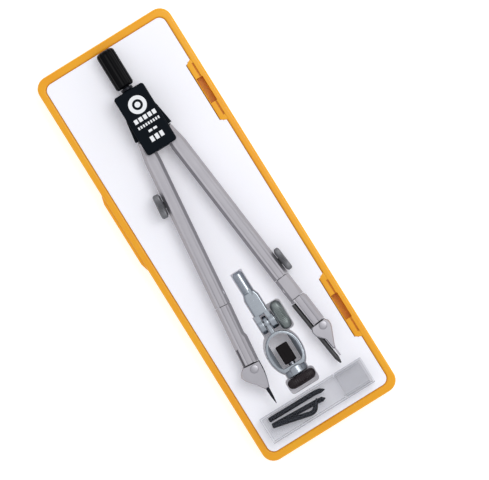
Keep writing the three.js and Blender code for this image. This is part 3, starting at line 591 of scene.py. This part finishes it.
def build_head():
    front, back, plate = HEAD["front"], HEAD["back"], HEAD["plate"]
    keep("head_front", in_head(head_slab(front - plate, front, 0.6)), HEAD_ACETAL, "head_front_plate")
    shell = head_slab(back, back + plate, 0.6)
    bridge = rounded(box_between(-7.0, 7.0, 6.6, 11.3, back + 1.2, 3.2), 0.3, 2)
    wells = [placed(spin([(0, 0), (1.8, 0), (1.8, 3), (0, 3)], HEAD_ACETAL, 40), at(x, 9, back - 1.8))
             for x in (-5, 5)]
    shell = combined(combined(shell, "UNION", bridge), "DIFFERENCE", *wells)
    keep("head_back", in_head(shell), HEAD_ACETAL, "head_back_shell")
    for side, x in (("left", -1), ("right", 1)):
        pin = spin(soft_profile([(0, -4.7), (1.5, -4.7), (1.5, 4.7), (0, 4.7)], 0.3), TURNED_STEEL, 48)
        keep(f"head_{side}_pivot", in_head(pin, at(4.55 * x, 0, 0)), TURNED_STEEL, f"head_pivot_pin_{side}")
        # A slotted screw in its well, seen from the back of the head.
        screw = spin(soft_profile([
            (0, -3.6), (0.8, -3.6), (0.8, -0.9), (1.45, -0.9), (1.45, -0.3), (1.0, -0.1), (0, -0.1),
        ], 0.15), TURNED_STEEL, 48)
        screw = run_tool(SLOTTING, screw, Slot_Width=0.45 * MM, Slot_Depth=0.35 * MM, Slot_Length=4 * MM,
                         Top=-0.1 * MM, Finish=TURNED_STEEL)
        screw = in_head(screw, turned_about(180, "X"), turned_about(25 * x, "Z"), at(5 * x, 9, back))
        keep(f"head_{side}_screw", screw, TURNED_STEEL, f"head_screw_{side}")
    neck = spin(soft_profile([
        (0, 8), (1.6, 8), (1.6, 11.8), (2.7, 11.8), (2.7, 13.1), (1.6, 13.1), (1.6, 20), (0, 20),
    ], 0.2), BLACKENED_STEEL, 48)
    keep("handle_threaded_stud", in_head(neck, ALONG_Y), BLACKENED_STEEL, "handle_stud")
    grip = soft_profile([
        (0, 13.4), (3.5, 13.4), (4.1, 14.3), (4.1, 29.6), (3.75, 30.6), (2.7, 31.2), (0, 31.2),
    ], 0.6, 6)
    fluted = spin(grip, GRIP_NYLON, 14 * 12, 14, 0.24, 2.6)
    keep("handle_fluted_grip", in_head(fluted, ALONG_Y), GRIP_NYLON, "handle_grip")
    build_head_print()


# Rows of plain dashes: middle X, middle Y, count, pitch, length, height, in the row frame.
DASH_ROWS = (
    (0.65, 57.9, 5, 2.2, 1.6, 2.0), (0.65, 54.9, 9, 1.2, 0.7, 1.2),
    (0.7, 51.85, 2, 2.3, 1.7, 1.0), (0.7, 48.4, 3, 2.3, 1.6, 2.4),
)


def build_head_print():
    """A plain ring with a centre dot, and rows of dashes, as a thin layer of ink on the head."""
    top = HEAD["front"] + 20.6
    ink = 0.04  # half the layer's thickness
    rows = []
    for x, y, count, pitch, length, height in DASH_ROWS:
        row = run_tool(MARKS, bpy.data.meshes.new("start"), Count=count, Pitch=pitch * MM,
                       Length=length * MM, Height=height * MM, Thickness=2 * ink * MM, Finish=PRINT_INK)
        rows.append(placed(row, at(x, y, top + 0.01)))
    ring = spin([(2.3, -ink), (3.95, -ink), (3.95, ink), (2.3, ink), (2.3, -ink)], PRINT_INK, 64)
    dot = spin([(0, -ink), (1.25, -ink), (1.25, ink), (0, ink)], PRINT_INK, 40)
    rows += [placed(mesh, at(0.6, 63.9, top + 0.01)) for mesh in (ring, dot)]
    mesh = stacked(*rows)
    obj = bpy.data.objects.new("head_print", mesh)
    mesh.materials.clear()
    mesh.materials.append(PRINT_INK)
    bpy.context.scene.collection.objects.link(obj)
    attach(obj, "compass_head")


# ---------------------------------------------------------------- legs and tips

LEG_PLACE = {
    side: HEAD_PLACE @ at(sign * 4.55, 0, 0) @ turned_about(sign * 5.95, "Z")
    for side, sign in (("left", -1), ("right", 1))
}


def in_leg(side, mesh, *matrices):
    return placed(mesh, *matrices, LEG_PLACE[side])


def build_thumb_screw(side, place, reach, depth):
    """A knurled screw in the outer side of a leg, place down it: reach is its head's thickness."""
    sign = -1 if side == "left" else 1
    radius, seat = 5.4, 3.8
    end = seat + reach
    profile = soft_profile([
        (0, 3.5 - depth), (1.4, 3.5 - depth), (1.4, seat), (radius - 1.3, seat),
        (radius - 0.1, seat + 0.6), (radius, seat + 0.9), (radius, end - 0.5), (radius - 0.6, end),
        (radius - 2.2, end), (radius - 2.6, end - 0.25), (0, end - 0.25),
    ], 0.3)
    # Straight knurling: ridges about 0.7 mm apart round the head.
    screw = spin(profile, KNURLED_NICKEL, 48 * 8, 48, 0.28, radius - 0.7)
    outwards = turned_about(0 if sign > 0 else 180, "Z")
    keep(f"{side}_leg_thumb_screw", in_leg(side, screw, ALONG_X, outwards, at(0, -place, 0)),
         KNURLED_NICKEL, f"{side}_thumb_screw")


def build_tip_screw(side, u, v):
    top = 3.72
    profile = soft_profile([
        (0, 1.45), (0.9, 1.45), (0.9, 3.3), (1.8, 3.3), (1.8, 3.5), (1.45, 3.64), (0.7, 3.7), (0, top),
    ], 0.15)
    screw = spin(profile, TUMBLED_NICKEL, 56)
    screw = run_tool(SLOTTING, screw, Slot_Width=0.5 * MM, Slot_Depth=0.5 * MM, Slot_Length=6 * MM,
                     Top=top * MM, Finish=TUMBLED_NICKEL)
    sign = -1 if side == "left" else 1
    keep(f"{side}_tip_slotted_screw", in_leg(side, screw, turned_about(35, "Z"), at(sign * u, -v, 0)),
         TUMBLED_NICKEL, f"{side}_tip_screw")


def pointed_rod(side, start, end, profile, material, sides=40):
    """A rod from start towards end, both given as (outwards, down) in the leg's frame."""
    sign = -1 if side == "left" else 1
    way = Vector((sign * (end[0] - start[0]), -(end[1] - start[1]), 0))
    rod = spin(profile, material, sides)
    turn = Vector((0, 0, 1)).rotation_difference(way).to_matrix().to_4x4()
    return in_leg(side, rod, turn, at(sign * start[0], -start[1], 0))


def groove(side, u, v0, v1):
    """A fine V-shaped cutter along the front of a leg, from v0 to v1 down it."""
    sign = -1 if side == "left" else 1
    half, depth, face = 0.2, 0.12, 3.2
    section = [(u - half, face + 0.1), (u + half, face + 0.1), (u, face - depth)]
    return in_leg(side, loft([[(sign * a, -v, z) for a, z in section] for v in (v0, v1)]))


def build_legs():
    # Down each leg: where the upper bar ends, and where the lower arm starts and ends.
    ends = {"left": (87, 87.3, 114), "right": (89.6, 100.5, 114)}
    grooves = (-1.2, 1.2)
    for side in ("left", "right"):
        nickel = SATIN_NICKEL[side]
        knuckle = rounded(from_cad(f"{side}_knuckle"), 0.25)
        keep(f"{side}_leg_knuckle", knuckle, HEAD_ACETAL, f"{side}_knuckle")
        mouth, start, end = ends[side]
        upper = rounded(from_cad(f"{side}_leg"), 0.3, 4)
        upper = combined(upper, "DIFFERENCE", *[groove(side, u, 19, mouth + 1) for u in grooves])
        keep(f"{side}_leg_bar", upper, nickel, f"{side}_leg")
        lower = rounded(from_cad(f"{side}_lower_arm"), 0.2)
        lower = combined(lower, "DIFFERENCE", *[groove(side, u, start - 1, end + 1) for u in grooves])
        keep(f"{side}_arm_bar", lower, nickel, f"{side}_lower_arm")
        nose = rounded(from_cad(f"{side}_tip_holder"), 0.35, 4)
        keep(f"{side}_tip_nose", nose, TUMBLED_NICKEL, f"{side}_tip_holder")
    keep("right_leg_insert", rounded(from_cad("right_insert"), 0.2), SATIN_NICKEL["right"], "right_insert")
    for side, knee in (("left", 87), ("right", 100.2)):
        nickel = SATIN_NICKEL[side]
        pin = spin(soft_profile([(0, -3.0), (1.2, -3.0), (1.2, 2.2), (0, 2.2)], 0.2), nickel, 40)
        inner = -1.6 if side == "right" else 1.6
        keep(f"{side}_knee_rivet", in_leg(side, pin, at(inner, 5 - knee, 0)), nickel, f"{side}_knee_pin")
    build_thumb_screw("left", 38, 3.2, 1.9)
    build_thumb_screw("right", 84, 2.7, 0.85)
    build_tip_screw("left", -0.5, 116.8)
    build_tip_screw("right", 1.6, 116.4)
    needle = [(0, 0), (1.0, 0), (1.0, 17.1), (0.85, 17.7), (0.55, 22.5), (0.12, 25.5), (0, 25.5)]
    needle = pointed_rod("left", (-0.3, 108.5), (-2.66, 133.9), soft_profile(needle, 0.2), BLACKENED_STEEL)
    keep("needle_blackened", needle, BLACKENED_STEEL, "needle_point")
    lead = [(0, 0), (1.0, 0), (1.0, 29.1), (0.35, 31.7), (0, 31.7)]
    lead = pointed_rod("right", (-3.0, 102.0), (-2.05, 133.7), soft_profile(lead, 0.2), GRAPHITE)
    keep("lead_graphite", lead, GRAPHITE, "pencil_lead")


# ---------------------------------------------------------------- pen holder

HOLDER_PLACE = at(-1.6, -43.2, 10.4)


def in_holder(mesh, *matrices):
    return placed(mesh, *matrices, HOLDER_PLACE)


def ring_outline(inset, steps=16):
    """The stirrup's outline, inset from its outside, as a closed smooth line."""
    top, wide, foot = -4.8 - inset, -14.2, -22.3 + inset * 1.4
    half, narrow = 7.75 - inset, 4.7 - inset * 0.4
    spans = (
        ((0, top), (-half * 0.6, top), (-half, wide + 5), (-half, wide)),
        ((-half, wide), (-half, wide - 4), (-narrow - 1.5, foot + 1), (-narrow, foot)),
        ((-narrow, foot), (-narrow / 3, foot), (narrow / 3, foot), (narrow, foot)),
        ((narrow, foot), (narrow + 1.5, foot + 1), (half, wide - 4), (half, wide)),
        ((half, wide), (half, wide + 5), (half * 0.6, top), (0, top)),
    )
    points = []
    for a, b, c, d in spans:
        for i in range(steps):
            t = i / steps
            weights = ((1 - t) ** 3, 3 * t * (1 - t) ** 2, 3 * t * t * (1 - t), t ** 3)
            points.append(tuple(sum(w * p[k] for w, p in zip(weights, (a, b, c, d))) for k in (0, 1)))
    return points


def stirrup():
    """The ring that goes round the pen: a band with rounded edges. Its inside narrows across X
    towards mid-height, so that a pen centres itself in it."""
    height, edge, wall, waist = 4.0, 0.45, 1.25, 4.6
    turns = [math.pi / 2 * i / 4 for i in range(5)]
    outer = [(edge * (1 - math.cos(a)), height - edge * (1 - math.sin(a)), 0) for a in turns]
    inner = [(wall - edge * 0.6 * math.cos(a), height - edge * (1 - math.sin(a)), 0) for a in turns[::-1]]
    inner += [(wall, z, 1 - z / height) for z in (3.2, 2.4, 1.6, 0.8, 0.2)]
    upper = outer + inner
    path = upper + [(inset, -z, narrow) for inset, z, narrow in upper[::-1]]
    sections = []
    for inset, z, close in path:
        ring = ring_outline(inset)
        sections.append([(x + (max(-waist, min(waist, x)) - x) * close, y, z) for x, y in ring])
    count = len(sections[0])
    verts = [p for section in sections for p in section]
    faces = []
    for s in range(len(sections)):
        t = (s + 1) % len(sections)
        for i in range(count):
            j = (i + 1) % count
            faces.append([s * count + i, s * count + j, t * count + j, t * count + i])
    return mesh_from(verts, faces)


def nickel_rod(profile, softness, along):
    """A turned piece of the holder with softened corners, laid along its axis."""
    return placed(spin(soft_profile(profile, softness), BRIGHT_NICKEL), along)


def round_cutter(radius, start, end, material, *matrices):
    return placed(spin([(0, start), (radius, start), (radius, end), (0, end)], material, 48), *matrices)


def build_pen_holder():
    half = 3.2
    outline = [(-half, 4.2), (half, 4.2), (half, 12.8), (2.3, 15.2), (-2.3, 15.2), (-half, 12.8)]
    body = rounded(prism(outline, -half, half), 0.7, 4)
    parts = [nickel_rod([(0, 12), (2.3, 12), (2.3, 24.2), (1.5, 25.2), (0, 25.2)], 0.3, ALONG_Y)]
    for x0, x1 in ((-3.9, -1.4), (1.1, 4.0)):  # the ears of the hinge, and the webs that carry them
        parts.append(nickel_rod([(0, x0), (3.75, x0), (3.75, x1), (0, x1)], 0.5, ALONG_X))
        parts.append(box_between(x0 + 0.1, min(x1, half) - 0.1, 0.2, 4.9, -3.1, 3.1))
    bore = round_cutter(1.6, -6, 6, BRIGHT_NICKEL, ALONG_X)
    slit = box_between(0.3, 1.5, 13.6, 16.4, 1.3, 5)
    whole = combined(combined(body, "UNION", *parts), "DIFFERENCE", bore, slit)
    keep("pen_holder_shank", in_holder(whole), BRIGHT_NICKEL, "holder_shank")

    eye = nickel_rod([(0, -1.1), (3.4, -1.1), (3.4, 0.8), (0, 0.8)], 0.4, ALONG_X)
    web = rounded(box_between(-1.1, 0.8, -5.6, -1.0, -3.1, 3.1), 0.3, 3)
    neck = nickel_rod([
        (0, -25.3), (4.4, -25.3), (4.75, -24.8), (4.75, -21.8), (4.3, -21.2), (0, -21.2),
    ], 0.3, ALONG_Y)
    through = round_cutter(2.0, -28, -17, BRIGHT_NICKEL, ALONG_Y)
    pivot = round_cutter(1.6, -3, 3, BRIGHT_NICKEL, ALONG_X)
    ring = combined(combined(stirrup(), "UNION", eye, web, neck), "DIFFERENCE", through, pivot)

    def within_ring(centre):
        x, y, z = (HOLDER_PLACE.inverted() @ centre) / MM
        return abs(x) < 6.55 and -20.6 < y < -6.0 and abs(z) < 3.6

    # The ring's inner faces take the darker, dull grey: painted shade inside the ring.
    keep("pen_holder_stirrup", in_holder(ring), BRIGHT_NICKEL, "holder_ring",
         lining=STIRRUP_INSIDE_DULL_PAINTED_SHADE, lined=within_ring)

    bolt = spin(soft_profile([(0, -3.8), (1.5, -3.8), (1.5, 6.6), (0, 6.6)], 0.2), TURNED_STEEL, 48)
    keep("pen_holder_hinge_bolt", in_holder(bolt, ALONG_X), TURNED_STEEL, "holder_hinge_bolt")
    knob = soft_profile([(0, 4.3), (5.3, 4.3), (6.6, 5.6), (6.6, 7.9), (5.3, 9.2), (0, 9.2)], 0.9, 6)
    bored = combined(spin(knob, HOLDER_KNOB_NICKEL, 52 * 7, 52, 0.25, 6.2), "DIFFERENCE",
                     round_cutter(1.8, 3, 6.9, HOLDER_KNOB_NICKEL))
    keep("pen_holder_thumb_knob", in_holder(bored, ALONG_X), HOLDER_KNOB_NICKEL, "holder_thumb_knob")
    jaw = rounded(from_cad("holder_jaw"), 0.25, 3)
    keep("pen_holder_jaw_pad", jaw, RUBBER, "holder_jaw")
    pitch = 0.6
    thread = [(0, -27.4), (1.5, -27.4)]
    for i in range(15):
        thread += [(1.75, -27.1 + pitch * i), (1.45, -26.8 + pitch * i)]
    thread += [(1.5, -17.6), (0, -17.6)]
    screw = in_holder(spin(thread, TURNED_STEEL, 48), ALONG_Y)
    keep("pen_holder_clamp_screw", screw, TURNED_STEEL, "holder_clamp_screw")
    head = soft_profile([
        (0, -30), (5.2, -30), (6.5, -28.7), (6.5, -26.7), (5.4, -25.6), (0, -25.6),
    ], 1.0, 6)
    knurled = combined(spin(head, KNOB_PHENOLIC, 40 * 8, 40, 0.3, 5.9), "DIFFERENCE",
                       round_cutter(2.05, -27.6, -24, KNOB_PHENOLIC))
    keep("pen_holder_clamp_knob", in_holder(knurled, ALONG_Y), KNOB_PHENOLIC, "holder_clamp_knob")


# ---------------------------------------------------------------- box of spare points

def box_shell(x0, x1, inset, corner=0.8):
    """A bar along X with the spares box's section, inset all round."""
    y0, y1, z0, z1 = -88 + inset, -76 - inset, 15 + inset, 22.6 - inset
    ring = rounded_rect((y1 - y0) / 2, (z1 - z0) / 2, max(corner - inset * 0.5, 0.3), 6)
    return loft([[(x, y + (y0 + y1) / 2, z + (z0 + z1) / 2) for y, z in ring] for x in (x0, x1)])


def build_spares_box():
    x0, x1, seam = -25.9, 24.1, 10.9
    tube = combined(box_shell(x0, seam - 0.3, 0), "UNION", box_shell(seam - 2, x1 - 1.7, 1.0))
    tube = combined(tube, "DIFFERENCE", box_shell(x0 + 0.9, seam - 1, 0.9), box_shell(seam - 2.5, x1, 1.6))
    keep("spares_box_tube", rounded(tube, 0.18, 2), CLEAR_POLYSTYRENE, "spares_tube")
    cap = combined(box_shell(seam, x1, 0), "DIFFERENCE", box_shell(seam - 1, x1 - 0.7, 0.7))
    keep("spares_box_cap", rounded(cap, 0.18, 2), CLEAR_POLYSTYRENE, "spares_cap")


SPARE_POINTS = (
    ((-22.7, -78.5, 17.2), (0.4, -78.7, 17.2), (4.3, -79.6, 18.8)),
    ((-22.7, -81.3, 17.2), (-0.4, -82.4, 17.2), (2.6, -82.9, 18.6)),
    ((-22.7, -81.2, 19.6), (-4.3, -85.6, 19.6), (-0.6, -80.9, 19.6)),
)


def cranked_point(places):
    """A steel point with a rounded elbow: round rings carried along a line that thins to its tip."""
    a, b, c = (Vector(p) for p in places)
    path = [(a, 0.75), (a + (b - a).normalized() * 0.35, 1.1)]
    bend = 2.0
    start, end = b + (a - b).normalized() * bend, b + (c - b).normalized() * bend
    for i in range(9):
        t = i / 8
        path.append((start * (1 - t) ** 2 + b * 2 * t * (1 - t) + end * t * t, 1.1))
    path += [(c + (b - c) * 0.35, 0.85), (c, 0.2)]
    sections = []
    up = (b - a).cross(c - b).normalized()
    for i, (p, radius) in enumerate(path):
        ahead = path[min(i + 1, len(path) - 1)][0] - path[max(i - 1, 0)][0]
        across = up.cross(ahead).normalized()
        sections.append([tuple(p + (across * math.cos(t) + up * math.sin(t)) * radius)
                         for t in (2 * math.pi * k / 24 for k in range(24))])
    return loft(sections)


def build_spare_points():
    for i, places in enumerate(SPARE_POINTS, 1):
        keep(f"spare_point_{i}_cranked", cranked_point(places), BLACKENED_STEEL, f"spare_point_{i}")


build_tray()
build_liner()
build_head()
build_legs()
build_pen_holder()
build_spares_box()
build_spare_points()


# ---------------------------------------------------------------- studio

def build_floor():
    half = 900 * MM
    below = -0.1 * MM  # so that it doesn't share a plane with the tray's underside
    mesh = bpy.data.meshes.new("floor")
    corners = [(x * half, y * half, below) for x, y in ((-1, -1), (1, -1), (1, 1), (-1, 1))]
    mesh.from_pydata(corners, [], [(0, 1, 2, 3)])
    floor = bpy.data.objects.new("floor", mesh)
    # Opal acrylic lit from below, so that a product's shadow on it stays faint.
    glow = {"IOR": 1.49, "Emission Strength": 0.5, "Emission Color": paint("#FFFFFF")}
    opal = surface("opal_acrylic_table", glow, ("#FAFAFA", "#FDFDFD"), 60, 3, 0.01, (0.7, 0.8))
    mesh.materials.append(opal)
    bpy.context.scene.collection.objects.link(floor)


def softbox(name, place, target, size, power, colour="#FFFFFF"):
    """A rectangular area light at place, facing target, in millimetres and watts."""
    light = bpy.data.lights.new(name, "AREA")
    light.shape, light.size, light.size_y = "RECTANGLE", size[0] * MM, size[1] * MM
    light.energy = power
    light.color = paint(colour)[:3]
    lamp = bpy.data.objects.new(name, light)
    lamp.location = Vector(place) * MM
    lamp.rotation_euler = (Vector(target) - Vector(place)).to_track_quat("-Z", "Y").to_euler()
    bpy.context.scene.collection.objects.link(lamp)


def build_studio():
    world = bpy.data.worlds.new("studio")
    world.use_nodes = True
    background = world.node_tree.nodes["Background"]
    background.inputs["Color"].default_value = paint("#FBFBFF")
    background.inputs["Strength"].default_value = 0.72
    bpy.context.scene.world = world
    softbox("key", (230, 60, 560), (0, 0, 0), (300, 300), 1.1)


def build_camera():
    camera = bpy.data.objects.new("camera", bpy.data.cameras.new("camera"))
    camera.data.lens, camera.data.sensor_width = 300, 36
    camera.location = Vector((8.8, -8.2, 1739.8)) * MM
    camera.rotation_euler = (0, 0, math.radians(-31.85))
    bpy.context.scene.collection.objects.link(camera)
    bpy.context.scene.camera = camera
    # Light passes up to 20 clear faces, where the spares box's cap covers its tube.
    bpy.context.scene.cycles.transparent_max_bounces = 24


build_floor()
build_studio()
build_camera()
bpy.context.scene.view_settings.view_transform = "Standard"
